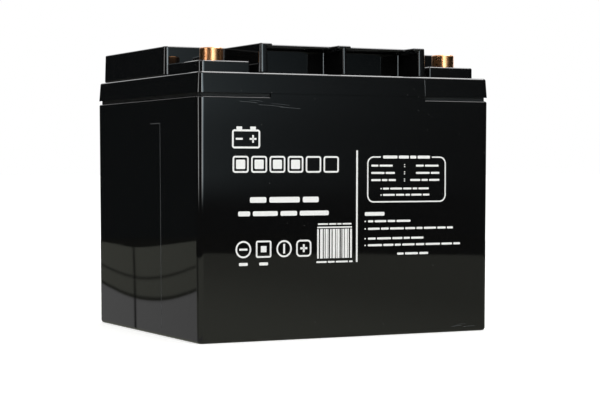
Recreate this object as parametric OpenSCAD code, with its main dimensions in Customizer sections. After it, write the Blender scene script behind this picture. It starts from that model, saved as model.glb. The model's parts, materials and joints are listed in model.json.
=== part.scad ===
// Sealed lead-acid battery of twelve volts: six cells in one row, in a jar with a lid, and a raised
// cover on the lid that closes in the valves.
// X runs along the front, the front faces -Y and Z is up. The origin is the centre of the
// footprint, on the ground. Every length is in millimetres.

/* [Jar] */
// Length of the jar across the front, at its shoulder
case_l = 197; // [180:0.5:230]
// Depth of the jar from front to back, at its shoulder
case_d = 165; // [150:0.5:190]
// Height of the jar up to its shoulder
jar_h = 142.6; // [136:0.2:165]
// Thickness of the outer walls at the shoulder
wall_t = 3.5; // [3.2:0.1:4.4]
// Thickness of the floor
floor_t = 3; // [2.5:0.1:4]
// Thickness of the walls between the cells
partition_t = 2; // [1.6:0.1:2.4]
// How far each side leans in between the shoulder and the ground
jar_draft = 1; // [0.2:0.1:1.4]
// Radius of the upright corners
corner_r = 4; // [3:0.2:6]
// Radius of the edge around the underside
foot_r = 2; // [1:0.2:2.2]
// Radius of the edge around the shoulder
shoulder_r = 0.6; // [0.2:0.1:1]

/* [Lid] */
// Height of the gap that shows between the shoulder and the skirt
reveal_h = 2; // [1:0.1:3]
// Depth of that gap
reveal_t = 1.8; // [1:0.1:2]
// Distance from the jar's side to the tab that closes the gap in the middle of the long sides
tab_set = 46.5; // [40:0.5:60]
// Height of the skirt
skirt_h = 12.1; // [11:0.1:16]
// How far the skirt leans in between its lower edge and the deck
skirt_draft = 0.4; // [0:0.1:0.8]
// Thickness of the deck
deck_t = 3; // [2.4:0.1:4]
// Radius of the edge around the deck
deck_r = 0.8; // [0.2:0.1:1.2]
// Room between the rim of the jar and the skirt around it
rim_gap = 0.25; // [0.1:0.05:0.35]

/* [Top cover] */
// Height of the cover above the deck
block_h = 17.8; // [16:0.1:24]
// Distance from the jar's side to the cover's side
block_set_x = 2.3; // [1.6:0.1:4]
// Distance from the jar's front to the cover's front
block_set_y = 5.8; // [4:0.1:8]
// Radius of the cover's upright corners
block_r = 2; // [1:0.1:3]
// Length of the terminal bays, from the jar's side
bay_l = 41.8; // [40.5:0.1:43.5]
// Depth of the terminal bays, from the jar's front
bay_d = 57; // [50:0.5:60]
// Thickness of the post at each end of the finger pockets
end_post_t = 5.5; // [4:0.1:7]
// Thickness of the rib between two finger pockets
mid_rib_t = 2.5; // [2:0.1:4]
// Depth of the finger pockets, from the cover's front
pocket_d = 24.5; // [20:0.5:28]
// Thickness of the lip over the finger pockets
lip_t = 2.2; // [1.8:0.1:3]
// Distance from the cover's front to the lip
lip_set = 11; // [6:0.5:14]
// How far the top reaches past each post, as an ear
ear_w = 3.8; // [1:0.1:6]
// Thickness of the cover's walls
cover_wall_t = 2.5; // [2:0.1:4]
// Thickness of its top
cover_t = 2.5; // [2:0.1:3]
// Length of a slot for the gas, at each end of the top
slot_l = 8; // [5:0.5:12]
// Width of that slot
slot_w = 1.2; // [0.8:0.1:2]
// Distance from the inside of the cover's end wall to the slot
slot_set = 2; // [1:0.1:3]

/* [Vents] */
// Outer diameter of a vent chimney
chimney_d = 11.6; // [10:0.1:13]
// Diameter of the vent through it
vent_d = 6; // [4:0.1:8]
// Distance of the vents behind the middle of the case
vent_y = 13; // [4:0.5:22]
// Thickness of a valve cap
cap_t = 1.7; // [1.2:0.1:2.2]
// Height of a valve cap's skirt
cap_h = 8; // [5:0.1:10]
// Room between a valve cap and the top cover
cap_room = 0.3; // [0.2:0.1:0.6]
// Room between a valve cap and its chimney
cap_gap = 0.1; // [0.05:0.05:0.2]

/* [Terminals] */
// Distance from the jar's side to the middle of a terminal
terminal_set_x = 19.1; // [18:0.1:20]
// Distance from the jar's front to the middle of a terminal
terminal_set_y = 24.2; // [23:0.1:26]
// Diameter of a terminal
terminal_d = 14; // [12:0.1:15]
// Height of a terminal above the deck
terminal_h = 15.1; // [13:0.1:16]
// Length of a terminal
terminal_l = 21.8; // [20:0.1:24]
// Diameter of the hole that takes the M6 thread
thread_d = 5; // [4.2:0.1:6.8]
// Depth of that hole
thread_l = 8; // [6:0.5:12]
// Bevel around a terminal's top
terminal_bevel = 0.5; // [0.2:0.1:0.8]
// Height of a pedestal above the deck
pedestal_h = 6.9; // [6.2:0.1:8]
// Length of a pedestal along the front
pedestal_l = 32.5; // [31:0.5:33]
// Distance from the jar's side to the pedestal
pedestal_set_x = 5; // [4:0.1:5.5]
// Distance from the jar's front to the pedestal
pedestal_set_y = 9.8; // [8:0.1:11]
// Thickness of a pedestal's walls and top
pedestal_t = 3; // [2:0.1:4]
// Diameter of the boss around a terminal, inside its pedestal
boss_d = 27; // [26:0.5:30]
// Thickness of the sleeve around a terminal, below the deck
sleeve_t = 1.5; // [1:0.1:2.5]
// Height of that sleeve
sleeve_h = 4; // [2:0.1:5]
// Diameter of the resin around a terminal
resin_d = 23; // [21:0.5:24]
// Depth of the resin
resin_t = 3.2; // [2:0.1:4]
// How far the resin lies below the pedestal's top
resin_set = 0.4; // [0.2:0.1:0.8]
// Thickness of the seal ring's section
seal_t = 2.4; // [2:0.1:2.8]
// Room around a terminal in its boss, and around the seal ring
seal_gap = 0.1; // [0.05:0.05:0.2]
// Length of a polarity mark's bar
mark_l = 4.4; // [3:0.1:4.8]
// Width of a polarity mark's bar
mark_w = 1.2; // [0.8:0.1:1.6]
// Height of a polarity mark
mark_h = 0.4; // [0.2:0.1:0.6]
// Distance from the pedestal's inner end to the middle of the mark
mark_set = 3.4; // [3:0.1:3.6]

/* [Cells] */
// Thickness of a positive plate
positive_t = 3; // [2.6:0.1:3.2]
// Thickness of a negative plate
negative_t = 2; // [1.6:0.1:2.2]
// Room above the plates, up to the shoulder
headroom = 23.6; // [22:0.1:30]
// Room between the plates and the front and back walls
plate_room = 3.9; // [2.5:0.1:8]
// How far the separators reach past the plates, at the sides and the top
separator_over = 2; // [0.5:0.1:2.4]
// Height of the lugs between the plates and the straps
lug_h = 7; // [5:0.1:9]
// Width of a lug
lug_w = 12; // [8:0.5:14]
// Thickness of a strap
strap_t = 6; // [4:0.1:8]
// Width of a strap
strap_w = 16; // [14:0.5:20]
// Room between a strap and the walls of its cell
strap_gap = 0.6; // [0.3:0.1:1]
// Thickness of the flag that stands up from a strap to the link
flag_t = 4; // [3:0.1:6]
// Width of that flag
flag_w = 14; // [12:0.5:16]
// Height of the links above the straps
link_rise = 7; // [6:0.1:8]
// Diameter of a link
link_d = 10; // [7:0.1:11]
// Diameter of a lead post
post_d = 12; // [9:0.1:13.5]

/* [Hidden] */
$fn = 64;
hull_fn = 32;
cells = 6;
positives = 4;
sheet = 0.01;
over = 1;
fillet_steps = 5;

case_black = "#1c1c1e";
rubber_black = "#101010";
terminal_copper = "#b87333";
resin_grey = "#2b2b2d";
lead_grey = "#7d8186";
positive_brown = "#5a3a2c";
mat_white = "#e9e7df";

cell_l = (case_l - 2 * wall_t - (cells - 1) * partition_t) / cells;
cell_d = case_d - 2 * wall_t;
pitch = cell_l + partition_t;
separator_t = (cell_l - positives * positive_t - (positives + 1) * negative_t) / (2 * positives);
plate_pitch = positive_t + negative_t + 2 * separator_t;

skirt_z = jar_h + reveal_h;
deck_z = skirt_z + skirt_h;
under_z = deck_z - deck_t;
top_z = deck_z + block_h;
lip_z = top_z - lip_t;
cover_z = top_z - cover_t;

tab_x = case_l / 2 - tab_set;
block_x = case_l / 2 - block_set_x;
block_y = case_d / 2 - block_set_y;
tongue_x = case_l / 2 - bay_l;
bay_y = case_d / 2 - bay_d;
pocket_x = tongue_x - end_post_t;
pocket_y = block_y - pocket_d;
lip_y = block_y - lip_set;
chimney_z = cover_z - cap_room - cap_t;

terminal_x = case_l / 2 - terminal_set_x;
terminal_y = case_d / 2 - terminal_set_y;
terminal_bore = terminal_d + 2 * seal_gap;
terminal_z = deck_z + terminal_h;
foot_z = terminal_z - terminal_l;
pedestal_x = case_l / 2 - pedestal_set_x - pedestal_l;
pedestal_y = case_d / 2 - pedestal_set_y;
pedestal_z = deck_z + pedestal_h;
resin_z = pedestal_z - resin_set - resin_t;
seal_z = resin_z - seal_t - seal_gap;

plate_d = cell_d - 2 * plate_room;
plates_z = jar_h - headroom;
strap_z = plates_z + lug_h;
strap_top = strap_z + strap_t;
link_z = strap_top + link_rise;
flag_z = link_z + link_d / 2 + 2;

// Middle of cell k, counted from the left
function cell_x(k) = (k - (cells + 1) / 2) * pitch;

// Middle of the partition between cell k and the next one
function partition_x(k) = cell_x(k) + pitch / 2;

// Side of cell k on which its negative strap lies: the front in the odd cells
function negative_side(k) = k % 2 == 1 ? -1 : 1;

// Side on which link k joins its two cells: the back for the odd links
function link_side(k) = k % 2 == 1 ? 1 : -1;

// A box from one corner to the opposite one
module span(low, high) {
    translate(low) cube(high - low);
}

// A flat rectangle from one corner to the opposite one
module area(low, high) {
    translate(low) square(high - low);
}

// A rectangle with round corners
module round_rect(l, d, r) {
    square([l - 2 * r, d], center = true);
    square([l, d - 2 * r], center = true);
    for (x = [-1, 1], y = [-1, 1])
        translate([x * (l / 2 - r), y * (d / 2 - r)]) circle(r);
}

// A thin slice of a case with its top at z, set in from the case's outline
module slice(z, inset) {
    translate([0, 0, z - sheet])
        linear_extrude(sheet)
            round_rect(case_l - 2 * inset, case_d - 2 * inset, max(corner_r - inset, 0.3), $fn = hull_fn);
}

// The outer shape of the jar, leaning in towards its rounded foot
module jar_shell() {
    hull() {
        for (i = [0:fillet_steps]) {
            a = 90 * i / fillet_steps;
            slice(sheet + foot_r * (1 - cos(a)), jar_draft + foot_r * (1 - sin(a)));
        }
        slice(jar_h - shoulder_r, 0);
        slice(jar_h, shoulder_r);
    }
}

// The space of one cell, open at the top
module cell_space(k) {
    span([cell_x(k) - cell_l / 2, -cell_d / 2, floor_t], [cell_x(k) + cell_l / 2, cell_d / 2, under_z + over]);
}

// The jar: walls, floor, the walls between the cells and the rim that the lid goes over
module container() {
    color(case_black)
        difference() {
            union() {
                jar_shell();
                translate([0, 0, jar_h - over])
                    linear_extrude(under_z - jar_h + over)
                        round_rect(case_l - 2 * reveal_t, case_d - 2 * reveal_t, corner_r - reveal_t / 2);
                for (y = [-1, 1])
                    translate([0, y * (case_d / 2 - reveal_t), jar_h + reveal_h / 2 - over / 2])
                        cube([2 * tab_x, 2 * reveal_t, reveal_h + over], center = true);
            }
            for (k = [1:cells]) cell_space(k);
            for (k = [1:cells - 1])
                translate([partition_x(k), link_side(k) * terminal_y, link_z])
                    rotate([0, 90, 0]) cylinder(d = link_d, h = partition_t + 2 * over, center = true);
        }
}

// The outer shape of the lid's skirt and deck
module lid_shell() {
    hull() {
        slice(skirt_z + sheet, -skirt_draft / 2);
        slice(deck_z - deck_r, skirt_draft / 2);
        slice(deck_z - deck_r * (1 - sin(45)), skirt_draft / 2 + deck_r * (1 - cos(45)));
        slice(deck_z, skirt_draft / 2 + deck_r);
    }
}

// The plan of the top cover: a rectangle without the two terminal bays
module block_plan() {
    difference() {
        round_rect(2 * block_x, 2 * block_y, block_r);
        for (x = [0, 1])
            mirror([x, 0]) area([tongue_x, -block_y - over], [block_x + over, -bay_y]);
    }
}

// The plan of the cover's inside, set in from its outer faces: the right half from front to back, then the left
module middle_plan(inset) {
    right = [
        [tongue_x - inset, -pocket_y + inset],
        [tongue_x - inset, -bay_y + inset],
        [block_x - inset, -bay_y + inset],
        [block_x - inset, block_y - inset],
        [pocket_x + inset, block_y - inset],
        [pocket_x + inset, pocket_y - inset]
    ];
    polygon(concat(right, [for (i = [len(right) - 1:-1:0]) [-right[i][0], right[i][1]]]));
}

// The finger pockets on one long side, under their lip
module pockets() {
    near = mid_rib_t / 2;
    for (x = [0, 1])
        mirror([x, 0, 0]) {
            span([near, pocket_y, deck_z], [pocket_x, block_y + over, lip_z]);
            span([near + ear_w, lip_y, deck_z], [pocket_x - ear_w, block_y + over, top_z + over]);
        }
}

// The raised cover on the deck: one moulding, open below, with the finger pockets and a slot at each end
module top_cover() {
    color(case_black)
        difference() {
            translate([0, 0, deck_z]) linear_extrude(block_h) block_plan();
            translate([0, 0, deck_z - over]) linear_extrude(block_h - cover_t + over) middle_plan(cover_wall_t);
            pockets();
            mirror([0, 1, 0]) pockets();
            for (x = [-1, 1])
                translate([x * (block_x - cover_wall_t - slot_set - slot_w / 2), vent_y, cover_z + cover_t / 2])
                    cube([slot_w, slot_l, cover_t + 2 * over], center = true);
        }
}

// One pedestal on the deck, at the right of the case, with the terminal's sleeve under it
module pedestal() {
    span([pedestal_x, -pedestal_y, deck_z - over], [pedestal_x + pedestal_l, -bay_y, pedestal_z]);
    translate([terminal_x, -terminal_y, under_z - sleeve_h])
        cylinder(d = terminal_bore + 2 * sleeve_t, h = sleeve_h + deck_t);
}

// What is taken out of a pedestal: its hollow, the terminal's bore, the seal's seat and the resin's well
module pedestal_hollow() {
    side = cell_x(cells) - cell_l / 2;
    difference() {
        span([side, -pedestal_y + pedestal_t, under_z - over],
             [pedestal_x + pedestal_l - pedestal_t, -bay_y - pedestal_t, pedestal_z - pedestal_t]);
        translate([terminal_x, -terminal_y, under_z - 2 * over]) cylinder(d = boss_d, h = terminal_l);
    }
    translate([terminal_x, -terminal_y, 0]) {
        translate([0, 0, under_z - sleeve_h - over]) cylinder(d = terminal_bore, h = terminal_l);
        translate([0, 0, seal_z]) cylinder(d = terminal_bore + 2 * seal_t, h = terminal_l);
        translate([0, 0, resin_z]) cylinder(d = resin_d, h = terminal_l);
    }
}

// A bar of a polarity mark on the right pedestal
module mark_bar(size) {
    translate([pedestal_x + mark_set, -terminal_y, pedestal_z + mark_h / 2 - over / 2])
        cube([size[0], size[1], mark_h + over], center = true);
}

// The lid: skirt, deck, pedestals with their marks, and the vent chimneys
module lid() {
    color(case_black)
        difference() {
            union() {
                difference() {
                    lid_shell();
                    translate([0, 0, skirt_z - over])
                        linear_extrude(under_z - skirt_z + over)
                            round_rect(case_l - 2 * reveal_t + 2 * rim_gap, case_d - 2 * reveal_t + 2 * rim_gap,
                                       corner_r - reveal_t / 2);
                }
                for (x = [0, 1]) mirror([x, 0, 0]) pedestal();
                mark_bar([mark_l, mark_w]);
                mark_bar([mark_w, mark_l]);
                mirror([1, 0, 0]) mark_bar([mark_l, mark_w]);
                for (k = [1:cells])
                    translate([cell_x(k), vent_y, deck_z - over])
                        cylinder(d = chimney_d, h = chimney_z - deck_z + over);
            }
            for (x = [0, 1]) mirror([x, 0, 0]) pedestal_hollow();
            for (k = [1:cells])
                translate([cell_x(k), vent_y, under_z - over]) cylinder(d = vent_d, h = top_z - under_z);
        }
}

// The rubber cap on the chimney of cell k
module valve_cap(k) {
    bore = chimney_d + 2 * cap_gap;
    color(rubber_black)
        translate([cell_x(k), vent_y, chimney_z - cap_h])
            difference() {
                cylinder(d = bore + 2 * cap_t, h = cap_h + cap_t);
                translate([0, 0, -over]) cylinder(d = bore, h = cap_h + over);
            }
}

// A terminal with its threaded hole, on one side of the case
module terminal(side) {
    r = terminal_d / 2;
    color(terminal_copper)
        translate([side * terminal_x, -terminal_y, foot_z])
            difference() {
                rotate_extrude()
                    polygon([[0, 0], [r, 0], [r, terminal_l - terminal_bevel],
                             [r - terminal_bevel, terminal_l], [0, terminal_l]]);
                translate([0, 0, terminal_l - thread_l]) cylinder(d = thread_d, h = thread_l + over);
            }
}

// The rubber ring around a terminal
module terminal_seal(side) {
    color(rubber_black)
        translate([side * terminal_x, -terminal_y, seal_z + seal_t / 2])
            rotate_extrude() translate([(terminal_d + seal_t) / 2, 0]) circle(d = seal_t);
}

// The resin poured around a terminal
module epoxy_seal(side) {
    color(resin_grey)
        translate([side * terminal_x, -terminal_y, resin_z])
            difference() {
                cylinder(d = resin_d, h = resin_t);
                translate([0, 0, -over]) cylinder(d = terminal_d, h = resin_t + 2 * over);
            }
}

// The lead post that stands on an end strap and carries a terminal
module terminal_post(side) {
    color(lead_grey)
        translate([side * terminal_x, -terminal_y, strap_top]) cylinder(d = post_d, h = foot_z - strap_top);
}

// The lead slug through the wall between cell k and the next one
module cell_link(k) {
    color(lead_grey)
        translate([partition_x(k), link_side(k) * terminal_y, link_z])
            rotate([0, 90, 0]) cylinder(d = link_d, h = partition_t, center = true);
}

// A plate with its lug, from x on, standing on z, with the lug on one side
module plate(x, t, z, side) {
    span([x, -plate_d / 2, z], [x + t, plate_d / 2, plates_z - floor_t + z]);
    span([x, side * terminal_y - lug_w / 2, plates_z - floor_t + z - over],
         [x + t, side * terminal_y + lug_w / 2, strap_z]);
}

// Where the first positive and the first negative plate of cell k begin
function negative_x(k) = cell_x(k) - cell_l / 2;
function positive_x(k) = negative_x(k) + negative_t + separator_t;

// The positive plates of cell k, each standing in the fold of its separator
module positive_plates(k) {
    color(positive_brown)
        for (i = [0:positives - 1])
            plate(positive_x(k) + i * plate_pitch, positive_t, floor_t + separator_t, -negative_side(k));
}

// The negative plates of cell k, standing on the floor
module negative_plates(k) {
    color(lead_grey)
        for (i = [0:positives])
            plate(negative_x(k) + i * plate_pitch, negative_t, floor_t, negative_side(k));
}

// The glass mats of cell k, each folded under and around one positive plate
module separators(k) {
    d = plate_d + 2 * separator_over;
    high = plates_z + separator_t + separator_over;
    color(mat_white)
        for (i = [0:positives - 1]) {
            x = positive_x(k) + i * plate_pitch;
            difference() {
                span([x - separator_t, -d / 2, floor_t], [x + positive_t + separator_t, d / 2, high]);
                span([x, -d / 2 - over, floor_t + separator_t], [x + positive_t, d / 2 + over, high + over]);
            }
        }
}

// A strap across the lugs of one polarity in cell k, with a flag on the side of its link, if any
module strap(k, side, flag) {
    left = cell_x(k) - cell_l / 2;
    right = cell_x(k) + cell_l / 2;
    color(lead_grey) {
        span([left + (flag < 0 ? 0 : strap_gap), side * terminal_y - strap_w / 2, strap_z],
             [right - (flag > 0 ? 0 : strap_gap), side * terminal_y + strap_w / 2, strap_top]);
        if (flag != 0)
            translate([flag > 0 ? right - flag_t : left, side * terminal_y - flag_w / 2, strap_z])
                cube([flag_t, flag_w, flag_z - strap_z]);
    }
}

// The strap on the positive plates of cell k, which is linked to the next cell
module positive_strap(k) {
    strap(k, -negative_side(k), k < cells ? 1 : 0);
}

// The strap on the negative plates of cell k, which is linked to the cell before
module negative_strap(k) {
    strap(k, negative_side(k), k > 1 ? -1 : 0);
}

container();
lid();
top_cover();
terminal(-1);  // terminal_negative
terminal(1);  // terminal_positive
terminal_seal(-1);  // terminal_seal_negative
terminal_seal(1);  // terminal_seal_positive
epoxy_seal(-1);  // epoxy_seal_negative
epoxy_seal(1);  // epoxy_seal_positive
terminal_post(-1);  // terminal_post_negative
terminal_post(1);  // terminal_post_positive
for (k = [1:cells]) {
    valve_cap(k);
    positive_plates(k);
    negative_plates(k);
    separators(k);
    positive_strap(k);
    negative_strap(k);
}
for (k = [1:cells - 1])
    cell_link(k);
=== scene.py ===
# %% [markdown]
# # A sealed lead-acid battery
# The real object is a black moulded jar with a lid glued on, two copper terminals in bays at the front
# corners, and a raised top cover with finger pockets under a lip. Everything here is in the frame of the
# solid model: X along the front, Y to the back, Z up, with the origin under the middle of the jar. The
# solid model's own pieces are loaded first. Those that show get finer surfaces, and those inside keep
# their shape and get a finish. The Standard view shows each colour as it is written.

# %% Load the solid model
import json

import bpy
import numpy as np
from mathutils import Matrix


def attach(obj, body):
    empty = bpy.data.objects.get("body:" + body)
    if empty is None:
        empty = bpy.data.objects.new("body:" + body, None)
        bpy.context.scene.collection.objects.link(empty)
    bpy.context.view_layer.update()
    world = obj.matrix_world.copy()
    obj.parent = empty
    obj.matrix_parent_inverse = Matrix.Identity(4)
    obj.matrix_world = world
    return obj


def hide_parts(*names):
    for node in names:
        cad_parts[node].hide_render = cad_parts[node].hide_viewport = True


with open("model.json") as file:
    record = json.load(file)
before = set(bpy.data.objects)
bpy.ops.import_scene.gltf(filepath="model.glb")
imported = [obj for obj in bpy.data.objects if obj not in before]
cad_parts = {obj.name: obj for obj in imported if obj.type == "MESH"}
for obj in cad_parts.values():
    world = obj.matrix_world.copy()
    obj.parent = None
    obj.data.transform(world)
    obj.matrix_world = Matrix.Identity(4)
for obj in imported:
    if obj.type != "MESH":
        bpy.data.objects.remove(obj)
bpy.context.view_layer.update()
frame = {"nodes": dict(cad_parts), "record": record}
scene = bpy.context.scene
scene.view_settings.view_transform = "Standard"

# %% [markdown]
# ## Surfaces from formulas
# Moulded and turned pieces have plain formulas: a closed outline seen from above, with arcs at its
# corners, and a profile that is carried round it. The outline keeps an outward normal at each point, so
# that the profile can step in and out square to the wall. Each shape is worked out as whole arrays of
# millimetres. Cubes with bevels could give such shapes too, but then each lean, step and radius would
# come from many small edits. From a formula each of them is one number.

# %% Outlines and the profiles carried round them
MM = 0.001


def outline(corners, radii=0, steps=8):
    """Closed outline through corners, listed anticlockwise, each rounded to its radius.

    The arc's centre lies on the corner's bisector, at radius * (n1 + n2) / (1 + n1 . n2) from the corner,
    where n1 and n2 are the two sides' outward normals. Its points lie at the radius from there, at equal
    steps of the angle between the normals. A sharp corner is one point, and its normal is the mitre
    (n1 + n2) / (1 + n1 . n2). Returns the points and their outward normals.
    """
    corners = np.asarray(corners, float)
    radii = np.broadcast_to(np.asarray(radii, float), len(corners))[:, None]
    sides = np.roll(corners, -1, axis=0) - corners
    sides /= np.linalg.norm(sides, axis=1)[:, None]
    after = np.stack([sides[:, 1], -sides[:, 0]], axis=1)
    before = np.roll(after, 1, axis=0)
    across = before[:, 0] * after[:, 1] - before[:, 1] * after[:, 0]
    along = (before * after).sum(axis=1)
    turn = np.arctan2(across, along)
    bend = np.where(turn < 0, -1.0, 1.0)[:, None]
    centres = corners - bend * radii * (before + after) / (1 + along)[:, None]
    angles = np.arctan2(before[:, 1], before[:, 0])[:, None] + turn[:, None] * np.linspace(0, 1, steps + 1)
    normals = np.stack([np.cos(angles), np.sin(angles)], axis=-1)
    points = (centres[:, None] + (bend * radii)[:, None] * normals).reshape(-1, 2)
    mitre = ((before + after) / (1 + along)[:, None])[:, None]
    normals = np.where(radii[:, None] == 0, mitre, normals).reshape(-1, 2)
    apart = np.linalg.norm(points - np.roll(points, 1, axis=0), axis=1) > 1e-6
    return points[apart], normals[apart]


def rectangle(x, y):
    """The four corners of a rectangle between two values of x and two of y, anticlockwise."""
    (x0, x1), (y0, y1) = sorted(x), sorted(y)
    return [(x0, y0), (x1, y0), (x1, y1), (x0, y1)]


def carry(path, profile):
    """Grid of points: the profile's (inset, height) pairs as rows, the path's points as columns.

    A point is the path's point, moved in along its normal by the inset, at the profile's height.
    """
    points, normals = path
    inset, height = np.asarray(profile, float).T
    flat = points[None] - inset[:, None, None] * normals[None]
    tall = np.broadcast_to(height[:, None, None], (*flat.shape[:2], 1))
    return np.concatenate([flat, tall], axis=2)


def turned(centre, profile, columns=96):
    """Grid of points: the profile's (radius, height) pairs, turned about an upright axis at centre."""
    angle = np.arange(columns) * 2 * np.pi / columns
    radius, height = np.asarray(profile, float).T
    x = centre[0] + radius[:, None] * np.cos(angle)
    y = centre[1] + radius[:, None] * np.sin(angle)
    return np.stack([x, y, np.broadcast_to(height[:, None], x.shape)], axis=-1)


def arc(centre, radius, start, end, steps=6):
    """Points of an arc in a profile: centre + radius * (cos a, sin a), a from start to end in degrees."""
    a = np.radians(np.linspace(start, end, steps + 1))
    return [(centre[0] + radius * np.cos(t), centre[1] + radius * np.sin(t)) for t in a]


# %% [markdown]
# A grid becomes a mesh with a quad between each four neighbours. Its two ends are closed by a flat face
# each, or, for a ring, the last row joins the first. The faces are numbered so that all of them point
# outwards. A mesh could also be put together face by face, but whole arrays are quicker, and they leave
# no gap at the seam, because the last column joins the first.

# %% From grids to closed meshes
def grid_faces(grid, ring=False):
    """Quads from (row, column) to the next column and the next row, and the two end faces."""
    rows, columns = grid.shape[:2]
    row, column = np.meshgrid(np.arange(rows if ring else rows - 1), np.arange(columns), indexing="ij")
    right, above = (column + 1) % columns, (row + 1) % rows
    quads = np.stack([row * columns + column, row * columns + right,
                      above * columns + right, above * columns + column], axis=-1)
    faces = quads.reshape(-1, 4).tolist()
    if not ring:
        faces += [list(range(columns))[::-1], list(range((rows - 1) * columns, rows * columns))]
    return faces


def solid(name, grids, rings=()):
    """One object from closed grids in millimetres; those under rings are closed along their rows."""
    points, faces = [], []
    start = 0
    for ring, group in ((False, grids), (True, rings)):
        for grid in group:
            faces += [[start + i for i in face] for face in grid_faces(grid, ring)]
            points.append(grid.reshape(-1, 3))
            start += len(points[-1])
    mesh = bpy.data.meshes.new(name)
    mesh.from_pydata((np.concatenate(points) * MM).tolist(), [], faces)
    made = bpy.data.objects.new(name, mesh)
    scene.collection.objects.link(made)
    return made


def block(x, y, z):
    """Grid of a plain box between two values each of x, y and z."""
    return carry(outline(rectangle(x, y)), [(0, min(z)), (0, max(z))])


# %% [markdown]
# A moulding tool leaves no sharp edge, so each edge gets a small round by a bevel. Pieces that grow out
# of one another are first joined or cut as solids. The shading then takes its normals from the largest
# faces, which keeps the broad flats of a glossy moulding from looking swollen. The rounds could be part
# of each formula, but where two forms meet there is no formula, so a bevel that goes by the angle makes
# them.

# %% Cuts, rounds and smooth shading
def settle(made):
    """Makes what the modifiers show the object's own mesh."""
    shown = made.evaluated_get(bpy.context.evaluated_depsgraph_get())
    mesh, old = bpy.data.meshes.new_from_object(shown), made.data
    made.modifiers.clear()
    made.data = mesh
    bpy.data.meshes.remove(old)


def combine(made, operation, *others):
    """Joins closed grids or objects to a piece, or cuts them out of it, one after the other."""
    for other in others:
        if not isinstance(other, bpy.types.Object):
            other = solid("other", [other])
        step = made.modifiers.new(operation.title(), "BOOLEAN")
        step.operation, step.solver, step.object = operation, "EXACT", other
        settle(made)
        bpy.data.objects.remove(other)


def round_edges(made, radius, segments=3, angle=35):
    """Rounds each edge that turns by more than the angle, to a radius in millimetres."""
    step = made.modifiers.new("Round", "BEVEL")
    step.width, step.segments = radius * MM, segments
    step.limit_method, step.angle_limit = "ANGLE", np.radians(angle)
    settle(made)


def smooth(made, angle=40):
    """Shades the piece smooth, with a crease at each edge that turns by more than the angle."""
    made.data.polygons.foreach_set("use_smooth", np.ones(len(made.data.polygons), bool))
    made.data.set_sharp_from_angle(angle=np.radians(angle))
    step = made.modifiers.new("Flats first", "WEIGHTED_NORMAL")
    step.keep_sharp = True
    settle(made)


# %% [markdown]
# ## Finishes
# Every finish is a small network of nodes that reads the place on the object in metres, so that it stays
# where it is from every side. The size of each pattern is a real one in millimetres. A picture could be
# laid on the surface instead, but it would have to be unwrapped and would blur close up.

# %% Colours and nodes
def linear(code):
    """Linear colour of an sRGB hex value: up to 0.04045 a 12.92th of it, above that a power of 2.4."""
    part = np.array([int(code[i:i + 2], 16) for i in (1, 3, 5)]) / 255
    return (*np.where(part <= 0.04045, part / 12.92, ((part + 0.055) / 1.055) ** 2.4).tolist(), 1.0)


def per(size):
    """Scale of a texture whose features are that many millimetres across."""
    return 1 / (size * MM)


def add(tree, kind, inputs=None, **settings):
    """Adds a node. An input is a plain value, or (node, output) to link from."""
    made = tree.nodes.new("ShaderNode" + kind)
    for name, value in settings.items():
        setattr(made, name, value)
    for name, value in (inputs or {}).items():
        if isinstance(value, tuple) and isinstance(value[0], bpy.types.Node):
            tree.links.new(value[0].outputs[value[1]], made.inputs[name])
        else:
            made.inputs[name].default_value = value
    return made


def between(tree, factor, low, high):
    """Mix of two hex colours by a (node, output) factor. The mixed colour is the node's output 2.

    A Mix node has sockets for each kind of data under the same names, so here they go by number: 0 is the
    factor, and 6 and 7 are the two colours.
    """
    made = add(tree, "Mix", data_type="RGBA")
    tree.links.new(factor[0].outputs[factor[1]], made.inputs[0])
    made.inputs[6].default_value, made.inputs[7].default_value = linear(low), linear(high)
    return made


def level(tree, source, low, high, start=0.3, end=0.7):
    """A (node, output) value between start and end as a straight line from low to high."""
    return add(tree, "MapRange", {"Value": source, "From Min": start, "From Max": end,
                                  "To Min": low, "To Max": high})


def finish(name, **sockets):
    """A new material, its node tree, its Principled shader with plain values, and Object coordinates."""
    material = bpy.data.materials.new(name)
    material.use_nodes = True
    tree = material.node_tree
    shader = tree.nodes["Principled BSDF"]
    for socket, value in sockets.items():
        shader.inputs[socket.replace("_", " ")].default_value = value
    return material, tree, shader, add(tree, "TexCoord")


def feed(tree, shader, **sources):
    """Links (node, output) pairs to the shader's inputs."""
    for socket, (source, output) in sources.items():
        tree.links.new(source.outputs[output], shader.inputs[socket.replace("_", " ")])


# %% [markdown]
# The case is ABS, injection moulded in a polished tool. It is nearly black, and what one sees of it is
# mostly its gloss: slow waves where the wall sank while it cooled, a fine orange peel, and a few specks
# of dust. Waves of a few hundredths of a millimetre would take millions of faces to model, so two bumps
# turn the normals, and a noise changes the roughness.

# %% Gloss black moulded ABS
abs_black, tree, shader, place = finish("moulded ABS gloss black", IOR=1.53)
waves = add(tree, "TexNoise", {"Vector": (place, "Object"), "Scale": per(45), "Detail": 1.0})
peel = add(tree, "TexNoise", {"Vector": (place, "Object"), "Scale": per(1.6), "Detail": 2.0})
sink = add(tree, "Bump", {"Height": (waves, "Fac"), "Distance": 0.03 * MM, "Strength": 1.0})
skin = add(tree, "Bump", {"Height": (peel, "Fac"), "Distance": 0.0006 * MM, "Strength": 1.0,
                          "Normal": (sink, "Normal")})
cloud = add(tree, "TexNoise", {"Vector": (place, "Object"), "Scale": per(28), "Detail": 5.0})
rough = level(tree, (cloud, "Fac"), 0.015, 0.035)
dust = add(tree, "TexVoronoi", {"Vector": (place, "Object"), "Scale": per(7)})
speck = level(tree, (dust, "Distance"), 0.5, 0.0, 0.02, 0.045)
colour = between(tree, (speck, "Result"), "#0b0b0b", "#6c6e6b")
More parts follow.
